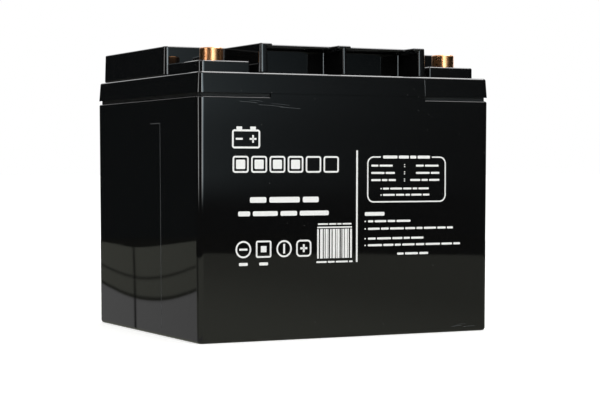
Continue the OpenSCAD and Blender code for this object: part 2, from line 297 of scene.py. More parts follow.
feed(tree, shader, Base_Color=(colour, 2), Roughness=(rough, "Result"), Normal=(skin, "Normal"))

# %% [markdown]
# The terminals are a copper alloy, turned on a lathe and left bright. Fine rings from the tool run round
# them. The rings are 0.6 mm apart, coarser than real ones, so that they show. A wave texture repeats
# after 2 pi / 20 of its own units. So shallow a groove shows only in the shine, and for that a bump is
# enough.

# %% Turned copper alloy
turned_copper, tree, shader, place = finish("turned copper alloy", Metallic=1.0)
rings = add(tree, "TexWave", {"Vector": (place, "Object"), "Scale": per(0.6) * 2 * np.pi / 20,
                              "Distortion": 0.4, "Detail": 1.0}, bands_direction="Z")
groove = add(tree, "Bump", {"Height": (rings, "Fac"), "Distance": 0.002 * MM, "Strength": 0.6})
stain = add(tree, "TexNoise", {"Vector": (place, "Object"), "Scale": per(5), "Detail": 4.0})
tarnish = between(tree, (stain, "Fac"), "#dba270", "#c3865c")
dull = level(tree, (stain, "Fac"), 0.24, 0.34)
feed(tree, shader, Base_Color=(tarnish, 2), Roughness=(dull, "Result"), Normal=(groove, "Normal"))

# %% [markdown]
# The markings on the front are white ink, pushed through a screen. It is matt, a little uneven in
# thickness, and stands up by a few hundredths of a millimetre. That height is real and comes with the
# plates further down, and only the marks of the screen are a bump.

# %% White screen ink
ink_white, tree, shader, place = finish("screen printed white ink", Roughness=0.55, IOR=1.5)
mesh_marks = add(tree, "TexNoise", {"Vector": (place, "Object"), "Scale": per(0.5), "Detail": 2.0})
coat = between(tree, (mesh_marks, "Fac"), "#f4f4f2", "#e2e3e0")
lift = add(tree, "Bump", {"Height": (mesh_marks, "Fac"), "Distance": 0.01 * MM, "Strength": 0.5})
feed(tree, shader, Base_Color=(coat, 2), Normal=(lift, "Normal"))

# %% [markdown]
# Inside there are cast lead, plates of brown lead dioxide paste, white mats of glass fibre, rubber and
# poured resin. They hardly ever show, but each one is what it is: lead is dull with a faint crystal
# pattern, the paste is matt and gritty, the mat is fibrous, rubber has a soft sheen and resin is smooth.
# They keep the shapes of the solid model, because nobody would see finer ones.

# %% Lead, paste and glass mat
lead, tree, shader, place = finish("cast lead", Metallic=1.0)
crystals = add(tree, "TexVoronoi", {"Vector": (place, "Object"), "Scale": per(2.5)})
oxide = between(tree, (crystals, "Distance"), "#8f9398", "#6a6e73")
flow = add(tree, "TexNoise", {"Vector": (place, "Object"), "Scale": per(6), "Detail": 4.0})
dull = level(tree, (flow, "Fac"), 0.45, 0.7)
cast = add(tree, "Bump", {"Height": (flow, "Fac"), "Distance": 0.1 * MM, "Strength": 0.5})
feed(tree, shader, Base_Color=(oxide, 2), Roughness=(dull, "Result"), Normal=(cast, "Normal"))

paste, tree, shader, place = finish("lead dioxide paste", Roughness=0.92, IOR=1.6)
grit = add(tree, "TexNoise", {"Vector": (place, "Object"), "Scale": per(0.8), "Detail": 6.0})
brown = between(tree, (grit, "Fac"), "#4a2e22", "#6b4735")
coarse = add(tree, "Bump", {"Height": (grit, "Fac"), "Distance": 0.15 * MM, "Strength": 0.8})
feed(tree, shader, Base_Color=(brown, 2), Normal=(coarse, "Normal"))

glass_mat, tree, shader, place = finish("absorbent glass fibre mat", Roughness=0.95, IOR=1.45,
                                        Sheen_Weight=0.3)
lay = add(tree, "Mapping", {"Vector": (place, "Object"), "Scale": (1.0, 0.25, 1.0)})
fibres = add(tree, "TexNoise", {"Vector": (lay, "Vector"), "Scale": per(0.4), "Detail": 8.0,
                                "Distortion": 1.5})
white = between(tree, (fibres, "Fac"), "#f2f0ea", "#d9d6cc")
fluff = add(tree, "Bump", {"Height": (fibres, "Fac"), "Distance": 0.2 * MM, "Strength": 0.7})
feed(tree, shader, Base_Color=(white, 2), Normal=(fluff, "Normal"))

# %% [markdown]
# Rubber and resin are both black here, and only their gloss tells them apart. Rubber scatters the light,
# and a pale bloom dulls it in patches, so one noise drives its colour and its roughness. Resin is poured
# and sets like glass, with a slow ripple, so its noise is also a bump.

# %% Rubber and resin
rubber, tree, shader, place = finish("moulded rubber", IOR=1.52, Sheen_Weight=0.1)
bloom = add(tree, "TexNoise", {"Vector": (place, "Object"), "Scale": per(3), "Detail": 5.0})
black = between(tree, (bloom, "Fac"), "#141414", "#242422")
soft = level(tree, (bloom, "Fac"), 0.6, 0.75)
feed(tree, shader, Base_Color=(black, 2), Roughness=(soft, "Result"))

resin, tree, shader, place = finish("poured epoxy resin", IOR=1.55)
swirl = add(tree, "TexNoise", {"Vector": (place, "Object"), "Scale": per(4), "Detail": 3.0,
                               "Distortion": 1.0})
tint = between(tree, (swirl, "Fac"), "#141416", "#202023")
gloss = level(tree, (swirl, "Fac"), 0.12, 0.25)
ripple = add(tree, "Bump", {"Height": (swirl, "Fac"), "Distance": 0.1 * MM, "Strength": 0.4})
feed(tree, shader, Base_Color=(tint, 2), Roughness=(gloss, "Result"), Normal=(ripple, "Normal"))

# %% [markdown]
# Each piece of the solid model that stays in view, even inside the case, gets the finish of its slot in
# the record. A new piece gets its finish too, and rides on the one body that the object has.

# %% Give the solid model's pieces their finish
finishes = {"case_plastic": abs_black, "terminal_metal": turned_copper, "rubber": rubber, "resin": resin,
            "lead": lead, "positive_paste": paste, "glass_mat": glass_mat}
for part in frame["record"]["subparts"]:
    made = frame["nodes"][part["node"]]
    made.data.materials.clear()
    made.data.materials.append(finishes[part["material_slot"]])


def put_in(made, material, stands_for=()):
    """Gives a new piece its finish and body, and hides the pieces of the solid model that it stands for."""
    made.data.materials.clear()
    made.data.materials.append(material)
    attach(made, "root")
    if stands_for:
        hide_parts(*stands_for)
    size = np.ptp([corner[:] for corner in made.bound_box], axis=0) / MM
    print(made.name, "-", len(made.data.polygons), "faces, mm:", np.round(size, 1).tolist())


# %% [markdown]
# ## The jar
# The jar leans in a little towards the ground, so that it leaves its mould. Its foot is round, and above
# the shoulder a narrower rim goes up inside the lid. That leaves a groove all round, except in the middle
# of the long sides, where a tab fills it. So the wall has two profiles with as many points each, one with
# the groove and one with the tab, and a point takes the one or the other by its place along the wall. The
# rim behind the groove gets a rough finish in a slightly darker black, which is painted shade that keeps
# the groove dark. The groove could be cut out of a plain wall instead, but a cut in a leaning wall leaves
# long thin faces that show in the gloss.

# %% Jar
jar_l, jar_d, jar_h = 197.0, 165.0, 142.6
corner_r, foot_r, shoulder_r, lean = 4.0, 2.0, 1.2, 1.0
reveal_h, reveal_t, rim_z = 2.0, 1.8, 153.7
tab_x, tab_ramp, tab_r = 52.0, 0.4, 0.3
wall_t, floor_t, partition_t, cells = 3.5, 3.0, 2.0, 6
skirt_z = jar_h + reveal_h
past = 1.0  # a cut starts and ends this far outside the piece
sunk = 1.0  # a part that is joined on starts this deep in the piece


def long_sides(length, depth):
    """Outline of the case with its round corners, and with points where the tab on each long side ends."""
    places = (-length / 2, -tab_x - tab_ramp, -tab_x, tab_x, tab_x + tab_ramp, length / 2)
    corners = np.array([(x, -depth / 2) for x in places] + [(-x, depth / 2) for x in places])
    path = outline(corners, np.where(np.abs(corners[:, 0]) > length / 2 - 1, corner_r, 0))
    at_tab = (np.abs(path[0][:, 0]) <= tab_x + tab_ramp / 2) & (np.abs(path[0][:, 1]) > depth / 2 - 1)
    return path, at_tab[None, :, None]


foot = [(lean + foot_r + x, foot_r + z) for x, z in arc((0, 0), foot_r, 270, 180)]
shoulder = arc((shoulder_r, jar_h - shoulder_r), shoulder_r, 180, 90, 4)
tab_top = arc((tab_r, skirt_z - tab_r), tab_r, 180, 90, 4)
jar_path, at_tab = long_sides(jar_l, jar_d)
grooved = carry(jar_path, foot + shoulder + [(reveal_t, jar_h), (reveal_t, rim_z)])
tabbed = carry(jar_path, foot + tab_top + [(reveal_t, skirt_z), (reveal_t, rim_z)])
jar = solid("jar", [np.where(at_tab, tabbed, grooved)])

cell_l = (jar_l - 2 * wall_t - (cells - 1) * partition_t) / cells
cell_middles = (np.arange(cells) - (cells - 1) / 2) * (cell_l + partition_t)
cell_y = jar_d / 2 - wall_t
combine(jar, "DIFFERENCE", *[block((x - cell_l / 2, x + cell_l / 2), (-cell_y, cell_y),
                                   (floor_t, rim_z + past)) for x in cell_middles])
smooth(jar)
put_in(jar, abs_black, ["container"])

middles = np.empty(len(jar.data.polygons) * 3)
jar.data.polygons.foreach_get("center", middles)
across, deep, up = np.abs(middles.reshape(-1, 3).T) / MM
groove_z, groove_in = jar_h + 0.2, 1.2
shaded_rim = (up > groove_z) & (across < jar_l / 2 - groove_in) & (deep < jar_d / 2 - groove_in)
# The rim inside the groove gets a rough, slightly darker black: painted shade in the groove.
painted_shade_rough, tree, shader, place = finish("unpolished black ABS", Roughness=0.75, IOR=1.53)
grain = add(tree, "TexNoise", {"Vector": (place, "Object"), "Scale": per(0.4), "Detail": 4.0})
groove_shade_colour = between(tree, (grain, "Fac"), "#060606", "#0c0c0c")
feed(tree, shader, Base_Color=(groove_shade_colour, 2))
jar.data.materials.append(painted_shade_rough)
jar.data.polygons.foreach_set("material_index", shaded_rim.astype(int))

# %% [markdown]
# ## The lid
# The lid is one moulding with a skirt, a deck and a pedestal for each terminal. Between the tabs its
# skirt stands out by a tenth of a millimetre, where the mould had an insert. The polarity is moulded on
# the pedestals as a raised plus and minus. The skirt is carried round like the jar's wall, and the other
# forms are joined to it as solids.

# %% Lid with its pedestals
deck_z, under_z = 156.7, 153.7
skirt_l, skirt_d, skirt_lean, panel_step, rim_gap = 197.4, 165.4, 0.8, 0.1, 0.25
bay_y = 25.5
pedestal_x, pedestal_l, pedestal_y, pedestal_z, pedestal_t = 61.0, 32.5, 72.7, 163.6, 3.0
terminal_x, terminal_y, terminal_r, bore_r, sleeve_r, sleeve_z = 79.4, 58.3, 7.0, 7.1, 8.6, 149.7
seat_r, seat_z, resin_r, resin_z, resin_t, boss_r = 9.5, 157.5, 11.5, 160.0, 3.2, 13.5
vent_y, vent_r, chimney_r, chimney_z = 13.0, 3.0, 5.8, 170.0
deck_edge_r, edge_r, outer_r = 1.6, 1.0, corner_r - 0.5
sides = (-1, 1)

skirt_path, at_panel = long_sides(skirt_l, skirt_d)
skirt = [(0, skirt_z)] + arc((skirt_lean + deck_edge_r, deck_z - deck_edge_r), deck_edge_r, 180, 90, 6)
plain = carry(skirt_path, [(inset + panel_step, z) for inset, z in skirt])
lid = solid("lid_moulding", [np.where(at_panel, carry(skirt_path, skirt), plain)])
for s in sides:
    corners = rectangle((s * pedestal_x, s * (pedestal_x + pedestal_l)), (-pedestal_y, -bay_y))
    plan = outline(corners, [outer_r if y < -bay_y and abs(x) > pedestal_x else 0 for x, y in corners])
    pedestal = solid("pedestal", [carry(plan, [(0, under_z), (0, pedestal_z)])])
    round_edges(pedestal, edge_r, 4)
    combine(lid, "UNION", pedestal)

mark_l, mark_w, mark_h, mark_x = 4.4, 1.2, 0.4, pedestal_x + 3.4
bars = [(-1, mark_l, mark_w), (1, mark_l, mark_w), (1, mark_w, mark_l)]
combine(lid, "UNION", *[block((s * mark_x - l / 2, s * mark_x + l / 2),
                              (-terminal_y - w / 2, -terminal_y + w / 2),
                              (pedestal_z - 0.5, pedestal_z + mark_h)) for s, l, w in bars])
# %% [markdown]
# A moulding is hollow underneath, so that its walls cool evenly. A sleeve goes down round each terminal,
# a well above it takes the seal and the resin, and a chimney stands over each cell. They are turned
# shapes, and each is joined before the next is cut, because the well goes through the boss.

# %% Underside, wells and chimneys of the lid
rim_l, rim_d = jar_l / 2 - reveal_t + rim_gap, jar_d / 2 - reveal_t + rim_gap
rim = outline(rectangle((-rim_l, rim_l), (-rim_d, rim_d)), corner_r - reveal_t / 2)
combine(lid, "DIFFERENCE", carry(rim, [(0, skirt_z - past), (0, under_z)]))
for s in sides:
    middle = (s * terminal_x, -terminal_y)
    hollow_x = (s * (cell_middles[-1] - cell_l / 2), s * (pedestal_x + pedestal_l - pedestal_t))
    hollow_y = (-pedestal_y + pedestal_t, -bay_y - pedestal_t)
    combine(lid, "DIFFERENCE", block(hollow_x, hollow_y, (under_z - past, pedestal_z - pedestal_t)))
    combine(lid, "UNION", turned(middle, [(boss_r, under_z + 0.5), (boss_r, pedestal_z - sunk)], 64),
            turned(middle, [(sleeve_r, sleeve_z), (sleeve_r, deck_z)], 64))
    well = [(bore_r, sleeve_z - past), (bore_r, seat_z), (seat_r, seat_z), (seat_r, resin_z),
            (resin_r, resin_z), (resin_r, pedestal_z + past)]
    combine(lid, "DIFFERENCE", turned(middle, well))
combine(lid, "UNION", *[turned((x, vent_y), [(chimney_r, deck_z - sunk), (chimney_r, chimney_z)], 48)
                        for x in cell_middles])
combine(lid, "DIFFERENCE", *[turned((x, vent_y), [(vent_r, under_z - past), (vent_r, chimney_z + past)], 48)
                             for x in cell_middles])
smooth(lid)
put_in(lid, abs_black, ["lid"])

# %% [markdown]
# ## The top cover
# The raised cover is welded on the deck over the valves. Its plan is notched at the front and the back,
# where the lip over the fingers is set back between small ears. A plan with all its corners in it leaves
# only the pockets under the lip to be cut out as boxes. The edges are rounded after that, when they are
# all there.

# %% Top cover
lip_z, top_z, cover_t, cover_wall = 172.3, 174.5, 2.5, 2.5
block_x, block_y, tongue_x, block_r, tongue_r, cover_lean = 96.2, 76.7, 56.7, 2.0, 2.5, 0.5
rib_x, pocket_x, pocket_y, lip_y, ear_w = 1.25, 51.2, 52.2, 65.7, 3.8
near, far = rib_x + ear_w, pocket_x - ear_w


def both_halves(right):
    """A plan from its right half, listed from the front to the back, and the same points on the left."""
    return right + [(-x, y) for x, y in right[::-1]]


right = [(near, -block_y), (near, -lip_y), (far, -lip_y), (far, -block_y), (tongue_x, -block_y),
         (tongue_x, -bay_y), (block_x, -bay_y), (block_x, block_y), (far, block_y), (far, lip_y),
         (near, lip_y), (near, block_y)]
rounds = {(block_x, -bay_y): outer_r, (block_x, block_y): block_r, (tongue_x, -block_y): tongue_r}
radii = [rounds.get((abs(x), y), 0) for x, y in both_halves(right)]
cover_plan = outline(both_halves(right), radii)
cover = solid("raised_cover", [carry(cover_plan, [(0, deck_z), (cover_lean, top_z)])])
pocket_deep = (pocket_y, block_y + past)
combine(cover, "DIFFERENCE", *[block((s * rib_x, s * pocket_x), [e * y for y in pocket_deep],
                                     (deck_z - past, lip_z)) for s in sides for e in sides])
round_edges(cover, edge_r, 4)
# %% [markdown]
# The hollow makes room for the valves, and a slot at each end lets gas out. Its outline is the cover's
# own, moved in by the wall. It is cut after the edges are rounded, so that its own edges stay as they
# are.

# %% Hollow of the top cover
inside = [(tongue_x, -pocket_y), (tongue_x, -bay_y), (block_x, -bay_y), (block_x, block_y),
          (pocket_x, block_y), (pocket_x, pocket_y)]
step = np.array([(-1, 1), (-1, 1), (-1, 1), (-1, -1), (1, -1), (1, -1)]) * cover_wall
hollow = both_halves([tuple(p) for p in np.array(inside) + step])
combine(cover, "DIFFERENCE", carry(outline(hollow), [(0, deck_z - past), (0, top_z - cover_t)]))
slot_x, slot_y, slot_l, slot_w = block_x - cover_wall - 2.6, 13.0, 8.0, 1.2
slot_ends = (slot_y - slot_l / 2, slot_y + slot_l / 2)
combine(cover, "DIFFERENCE", *[block((s * slot_x - slot_w / 2, s * slot_x + slot_w / 2), slot_ends,
                                     (lip_z - past, top_z + past)) for s in sides])
smooth(cover)
put_in(cover, abs_black, ["top_cover"])

# %% [markdown]
# ## Terminals
# Each terminal is turned from a bar, with a bevel at its top and a hole for an M6 screw. The thread is a
# true helix: the wall of the hole goes out and in with the height, and the phase of that turns once round
# the hole. A Screw modifier could wind a thread as well, but this wall is one grid with the turned body
# and needs no cut.

# %% Terminals with an M6 thread
foot_z, terminal_z, bevel, tap_r, thread_l = 150.0, 171.8, 0.5, 2.5, 8.0
pitch, thread_depth, lead_in = 1.0, 0.45, 0.6


def threaded(centre, columns=96):
    """Grid of the hole's wall: radius = tap_r + depth * |2 * fraction(z / pitch - angle / turn) - 1|.

    The last factor goes from 1 to 0 and back over one pitch. A small cone leads in from the top.
    """
    z = np.linspace(terminal_z - lead_in, terminal_z - thread_l, 81)[:, None]
    angle = (np.arange(columns) * 2 * np.pi / columns)[None]
    ridge = np.abs(2 * np.mod(z / pitch - angle / (2 * np.pi), 1) - 1)
    radius = tap_r + thread_depth * ridge
    x, y = centre[0] + radius * np.cos(angle), centre[1] + radius * np.sin(angle)
    return np.stack([x, y, np.broadcast_to(z, x.shape)], axis=-1)


for s, name in zip(sides, ("negative", "positive")):
    middle = (s * terminal_x, -terminal_y)
    body = turned(middle, [(terminal_r, foot_z), (terminal_r, terminal_z - bevel),
                           (terminal_r - bevel, terminal_z),
                           (tap_r + thread_depth + lead_in / 2, terminal_z)])
    made = solid("screw_terminal_" + name, [np.concatenate([body, threaded(middle)])])
    smooth(made)
    put_in(made, turned_copper, ["terminal_" + name])

# %% [markdown]
# The resin is poured round the terminal and creeps up both walls before it sets, so its surface is
# hollow. The curve goes with the fourth power of the place across, so it is flat in the middle and steep
# at the walls. The ring is this profile turned about the terminal.

# %% Resin round the terminals
creep = 0.3
across = np.linspace(0, 1, 9)
surface = [(resin_r + (terminal_r - resin_r) * t, resin_z + resin_t - creep * (1 - (2 * t - 1) ** 4))
           for t in across]
for s, name in zip(sides, ("negative", "positive")):
    profile = [(resin_r, resin_z)] + surface + [(terminal_r, resin_z)]
    made = solid("resin_ring_" + name, [], [turned((s * terminal_x, -terminal_y), profile)])
    smooth(made)
    put_in(made, resin, ["epoxy_seal_" + name])

# %% [markdown]
# ## The printed markings
# The front carries a panel of white print: a pictogram of a battery, a gauge of six cells, rows of plain
# bars, four round and square signs, a field of upright bars, a divider and a frame. A texture could show
# it, but ink has a height and a sharp edge. So each shape is a thin closed plate that follows the lean of
# the wall, 0.04 mm proud of it.

# %% Plates of ink on the leaning front
ink_t, ink_sunk = 0.04, 0.3


def plate(path):
    """Grid of a plate on the front from an outline of (x, z).

    Its depth is y = lean * (1 - z / height) - depth / 2 - proud, once for its back and once for its front.
    """
    points = path[0]
    y = -(jar_d / 2 - lean * (1 - points[:, 1] / jar_h))
    back, front = [np.stack([points[:, 0], y - proud, points[:, 1]], axis=1)
                   for proud in (-ink_sunk, ink_t)]
    return np.stack([back, front])


def bar(x, z, r=0.0):
    """A bar between two values of x and two of z, with round corners."""
    return plate(outline(rectangle(x, z), min(r, abs(x[1] - x[0]) / 2.01, abs(z[1] - z[0]) / 2.01), 4))


def stroke(line, width):
    """A line of (x, z) points as a band, each moved half the width to each side, square to the line."""
    line = np.asarray(line, float)
    way = np.gradient(line, axis=0)
    way /= np.linalg.norm(way, axis=1)[:, None]
    out = np.stack([way[:, 1], -way[:, 0]], axis=1) * width / 2
    return plate((np.concatenate([line + out, (line - out)[::-1]]), None))


def words(x0, x1, z, height, first=0, space=0.45, tall=0.6):
    """A line of type as word-long bars: the k-th length is height * (1.6 + 3.4 * fraction(0.618 * k))."""
    made, k = [], first
    while x0 < x1 - height:
        k += 1
        end = min(x0 + height * (1.6 + 3.4 * ((0.618 * k) % 1)), x1)
        low, high = z + (1 - tall) / 2 * height, z + (1 + tall) / 2 * height
        made.append(bar((x0, end), (low, high), height * 0.2))
        x0 = end + space * height
    return made


def loop(x, z, r, width):
    """A closed frame: the outline and the same outline set in by the width, joined as two half bands."""
    outer, normals = outline(rectangle(x, z), r, 6)
    inner = outer - width * normals
    turn = np.arange(len(outer) + 1) % len(outer)
    half = len(outer) // 2
    parts = (turn[:half + 1], turn[half:])
    return [plate((np.concatenate([outer[p], inner[p][::-1]]), None)) for p in parts]


# %% [markdown]
# The left part of the panel is laid out in millimetres from the middle of the front. The bars in a row
# get their lengths from the fractions of the golden ratio's multiples. They look as if by chance, and are
# the same on each run.

# %% Left part of the print
ink = []
gauge_x, gauge_z, gauge_gap = np.linspace(-77.4, -6.4, 7), (98.4, 108.2), 1.6
for k, (x0, x1) in enumerate(zip(gauge_x[:-1] + gauge_gap / 2, gauge_x[1:] - gauge_gap / 2)):
    ink += loop((x0, x1), gauge_z, 1.6, 1.0)
    if k < 4:
        ink.append(bar((x0 + 2.2, x1 - 2.2), (gauge_z[0] + 2.2, gauge_z[1] - 2.2), 0.6))
ink += loop((-77.0, -59.0), (112.5, 123.5), 1.6, 1.1)
ink += [bar((-74.2, -70.6), (123.5, 125.2), 0.3), bar((-65.4, -61.8), (123.5, 125.2), 0.3)]
ink += [bar((-74.6, -70.2), (117.5, 118.6)), bar((-65.8, -61.4), (117.5, 118.6)),
        bar((-64.15, -63.05), (115.8, 120.3))]
ink += words(-65.5, -20.6, 80.4, 4.4, 1, tall=0.75)
ink += words(-73.0, -13.0, 72.6, 4.0, 4, tall=0.7)
sign_x, sign_z, sign_r = (-69.6, -56.6, -43.3, -30.4), 53.9, 5.0
for x, r in zip(sign_x, (4.9, 1.2, 4.9, 2.6)):
    ink += loop((x - sign_r, x + sign_r), (sign_z - sign_r, sign_z + sign_r), r, 1.0)
for x, wide, tall in ((sign_x[0], 2.6, 0.6), (sign_x[1], 1.8, 1.8), (sign_x[2], 0.6, 2.8),
                      (sign_x[3], 2.3, 0.6), (sign_x[3], 0.6, 2.3)):
    ink.append(bar((x - wide, x + wide), (sign_z - tall, sign_z + tall)))
for x in sign_x[:2]:
    ink += words(x - 2.8, x + 2.8, 44.2, 2.2, 3, tall=0.8)
code_x, k = -21.5, 0
while code_x < 1.4:
    k += 1
    width = 0.35 + 0.35 * (k * 7 % 5)
    ink.append(bar((code_x, min(code_x + width, 1.8)), (47.6, 65.0)))
    code_x += width + 0.3 + 0.2 * (k * 3 % 4)
ink += [bar((-21.5, 1.8), (65.6, 66.4))] + words(-21.0, 1.8, 67.2, 1.5, 2) + words(-22.0, 2.4, 44.6, 1.7, 5)
ink.append(bar((4.6, 5.7), (44.9, 111.7), 0.3))

# %% [markdown]
# On the right is a frame that is open at its top for a row of bars, so it is one band along an open line.
# Below it are rows with a bullet each.

# %% Right part of the print
frame_x, frame_z, frame_r, line_w = (12.1, 67.2), (80.4, 108.2), 4.0, 0.8
gap_x = (21.4, 57.2)
inset = line_w / 2
middle_x, middle_z = (frame_x[0] + inset, frame_x[1] - inset), (frame_z[0] + inset, frame_z[1] - inset)
points = outline(rectangle(middle_x, middle_z), frame_r, 8)[0]
start = int(np.argmax((points[:, 1] > frame_z[1] - 1) & (points[:, 0] < gap_x[0])))
around = np.roll(points, -start, axis=0)
ink.append(stroke(np.concatenate([[(gap_x[0], around[0][1])], around, [(gap_x[1], around[0][1])]]), line_w))
ink += words(23.0, 55.8, 106.7, 2.2, 2, tall=0.8)
for k, (z, x0) in enumerate(((101.6, 14.9), (97.2, 14.9), (92.9, 14.9))):
    ink += words(x0, x0 + 17, z, 2.0, k + 1)
    ink += [bar((37.6, 38.3), (z + low, z + low + 0.6)) for low in (0.1, 1.3)]
    ink += words(46.0 - 4 * (k == 2), 62.6, z, 2.0, k + 6)
for k, z in enumerate((87.8, 84.0)):
    ink += [bar((21.3, 22.1), (z + 0.5, z + 1.3), 0.35)] + words(23.0, 57.0 - 1.5 * k, z, 1.9, k + 9)
ink += words(10.6, 28.0, 72.2, 2.8, 7, tall=0.8)
for k, (z, x1) in enumerate(((68.1, 45.1), (63.6, 72.5), (57.7, 51.6), (53.7, 77.7))):
    ink += [bar((10.4, 11.3), (z + 0.6, z + 1.5), 0.4)] + words(12.8, x1, z, 2.1, k + 12)
ink += words(33.1, 56.6, 48.2, 2.2, 17)
print_white = solid("front_print", ink)
put_in(print_white, ink_white)

# %% [markdown]
# ## Marks of making and of use
# Where the mould's parts met, a fine raised line is left: one up each side, with a short foot at its top,
# and one at the end of each insert in the skirt. Below the lid at the left, and at the right corner of
# the foot, the gloss is scuffed by a few light strokes. The lines are thin ellipses carried along the
# wall, half sunk in it, and the strokes are plates like the ink.

# %% Mould lines and scuffs
def ridge(line, out, width=0.5, proud=0.09, columns=12):
    """Grid of a fine raised line: an ellipse carried along the points, half of its height above the wall."""
    line, out = np.asarray(line, float), np.asarray(out, float)
    way = np.gradient(line, axis=0)
    way /= np.linalg.norm(way, axis=1)[:, None]
    across = np.cross(way, out)
    turn = -np.arange(columns) * 2 * np.pi / columns
    wide, tall = width / 2 * np.cos(turn)[None, :, None], proud * np.sin(turn)[None, :, None]
    return line[:, None] + across[:, None] * wide + out * tall


heights = np.linspace(5, 128, 9)
lines = []
for s in sides:
    wall = s * (jar_l / 2 - lean * (1 - heights / jar_h))
    lines.append(ridge(np.stack([wall, np.full(9, -25.0), heights], axis=1), (s, 0, 0)))
    lines.append(ridge([(wall[-1], y, 128.0) for y in np.linspace(-25, -10, 5)], (s, 0, 0)))
    heights_up = np.linspace(skirt_z + 0.4, deck_z - deck_edge_r, 4)
    face = skirt_d / 2 - panel_step - skirt_lean * (heights_up - skirt_z) / (deck_z - skirt_z)
    insert_end = np.stack([np.full(4, s * (tab_x + 0.3)), -s * face, heights_up], axis=1)
    lines.append(ridge(insert_end, (0, -s, 0), 0.4))

# One pale finish serves the real scuffs and the mould lines. On the mould lines its pale colour is a painted
# highlight.
scuff_and_highlight, tree, shader, place = finish("scuffed ABS", Roughness=0.6, IOR=1.53)
fray = add(tree, "TexNoise", {"Vector": (place, "Object"), "Scale": per(0.9), "Detail": 3.0})
rub_and_highlight_colour = between(tree, (fray, "Fac"), "#1c1d1d", "#55585a")
feed(tree, shader, Base_Color=(rub_and_highlight_colour, 2))
strokes = [(-72, 139.6, -61, 139.0, 0.22), (-66, 140.4, -58, 140.0, 0.16), (-60, 137.9, -44, 137.0, 0.2),
           (-52, 138.6, -40, 137.9, 0.14), (-46, 136.6, -33, 136.0, 0.18), (72, 3.4, 79, 3.9, 0.22),
           (80, 2.9, 89, 3.3, 0.2), (76, 4.6, 82, 4.7, 0.14)]
scuffs = solid("scuffs", [stroke([(x0, z0), ((x0 + x1) / 2, (z0 + z1) / 2 + 0.2), (x1, z1)], width)
                          for x0, z0, x1, z1, width in strokes])
put_in(scuffs, scuff_and_highlight)
# The mould lines take the scuffs' pale colour as a painted highlight, where their ridges would catch the
# light.
mould_lines = solid("mould_lines", lines)
smooth(mould_lines, 80)
put_in(mould_lines, scuff_and_highlight)

# %% [markdown]
# ## Camera
# The picture was taken from 1.1 m away, a little above the middle of the battery, from its left front
# corner. The battery's upright edges stay upright, so the camera looks almost level, with a long lens.
# Its place was fitted to the corners of the case, whose size is known.

# %% Camera
camera = bpy.data.objects.new("camera", bpy.data.cameras.new("camera"))
camera.data.sensor_width, camera.data.lens = 36.0, 103.96
camera.location = (-0.4917, -0.992, 0.1013)
camera.rotation_euler = np.radians([90 - 1.065, 0, -26.754])
camera.data.clip_start, camera.data.clip_end = 0.05, 50
scene.collection.objects.link(camera)
scene.camera = camera

# %% [markdown]
# ## Floor, background and light
# Background and floor are white to the camera. The floor is a matt white board, with a little white of
# its own, so that the shadow on it stays pale, and with more of it far away, where no lamp reaches. One
# plain board for all of it would be simpler, but it would turn grey towards the horizon.

# %% Floor
floor_mesh = bpy.data.meshes.new("floor")
floor_mesh.from_pydata([(-20, -20, 0), (20, -20, 0), (20, 20, 0), (-20, 20, 0)], [], [(0, 1, 2, 3)])
floor = bpy.data.objects.new("floor", floor_mesh)
scene.collection.objects.link(floor)
white_board = bpy.data.materials.new("white board")
white_board.use_nodes = True
tree = white_board.node_tree
board, output = tree.nodes["Principled BSDF"], tree.nodes["Material Output"]
board.inputs["Base Color"].default_value = linear("#ebebe9")
board.inputs["Roughness"].default_value = 0.9
board.inputs["Specular IOR Level"].default_value = 0.0
ray = add(tree, "LightPath")
seen = add(tree, "Math", {0: (ray, "Is Camera Ray"), 1: (ray, "Is Glossy Ray")}, operation="MAXIMUM")
seen = add(tree, "Math", {0: (seen, 0), 1: (ray, "Is Transmission Ray")}, operation="MAXIMUM")
spot = add(tree, "TexCoord")
away = add(tree, "VectorMath", {0: (spot, "Object")}, operation="LENGTH")
own_near, own_far, lit_to, dim_from = 0.45, 0.8, 0.7, 1.6
white = level(tree, (away, "Value"), own_near, own_far, lit_to, dim_from)
glow = add(tree, "Math", {0: (seen, 0), 1: (white, "Result")}, operation="MULTIPLY")
own = add(tree, "Emission", {"Color": (1, 1, 1, 1), "Strength": (glow, 0)})
both = add(tree, "AddShader", {0: (board, 0), 1: (own, 0)})
tree.links.new(both.outputs[0], output.inputs["Surface"])
floor.data.materials.append(white_board)

# %% [markdown]
# The world lights everything evenly. To the camera and to mirrored rays it is plain white, and its light
# on the object is weaker than that, so that the object keeps its shape and its shadow.

# %% World
world = bpy.data.worlds.new("white studio")
scene.world = world
world.use_nodes = True
tree = world.node_tree
sky = tree.nodes["Background"]
sky.inputs["Color"].default_value = (1, 1, 1, 1)
ray = add(tree, "LightPath")
seen = add(tree, "Math", {0: (ray, "Is Camera Ray"), 1: (ray, "Is Glossy Ray")}, operation="MAXIMUM")
seen = add(tree, "Math", {0: (seen, 0), 1: (ray, "Is Transmission Ray")}, operation="MAXIMUM")
world_light, world_seen = 0.45, 1.0
strength = level(tree, (seen, 0), world_light, world_seen, 0, 1)
tree.links.new(strength.outputs["Result"], sky.inputs["Strength"])

# %% [markdown]
# Three large soft lamps light what is matt: the print, the rubber and the scuffs. Mirrored rays don't see
# them, because the gloss has surroundings of its own, which come next.

# %% Lamps
for name, place, size, watts in (("key", (-1.0, -1.4, 1.3), 0.9, 16.0),
                                 ("fill", (1.3, -1.0, 0.9), 0.9, 8.0),
                                 ("top", (0.1, 0.3, 1.8), 1.2, 14.0)):
    lamp = bpy.data.objects.new(name, bpy.data.lights.new(name, "AREA"))
    lamp.data.size, lamp.data.energy = size, watts
    lamp.location = place
    aim = np.array([0, 0, 0.08]) - np.array(place)
    down = np.arccos(-aim[2] / np.linalg.norm(aim))
    lamp.rotation_euler = (down, 0, np.arctan2(aim[1], aim[0]) - np.pi / 2)
    lamp.visible_glossy = False
    scene.collection.objects.link(lamp)

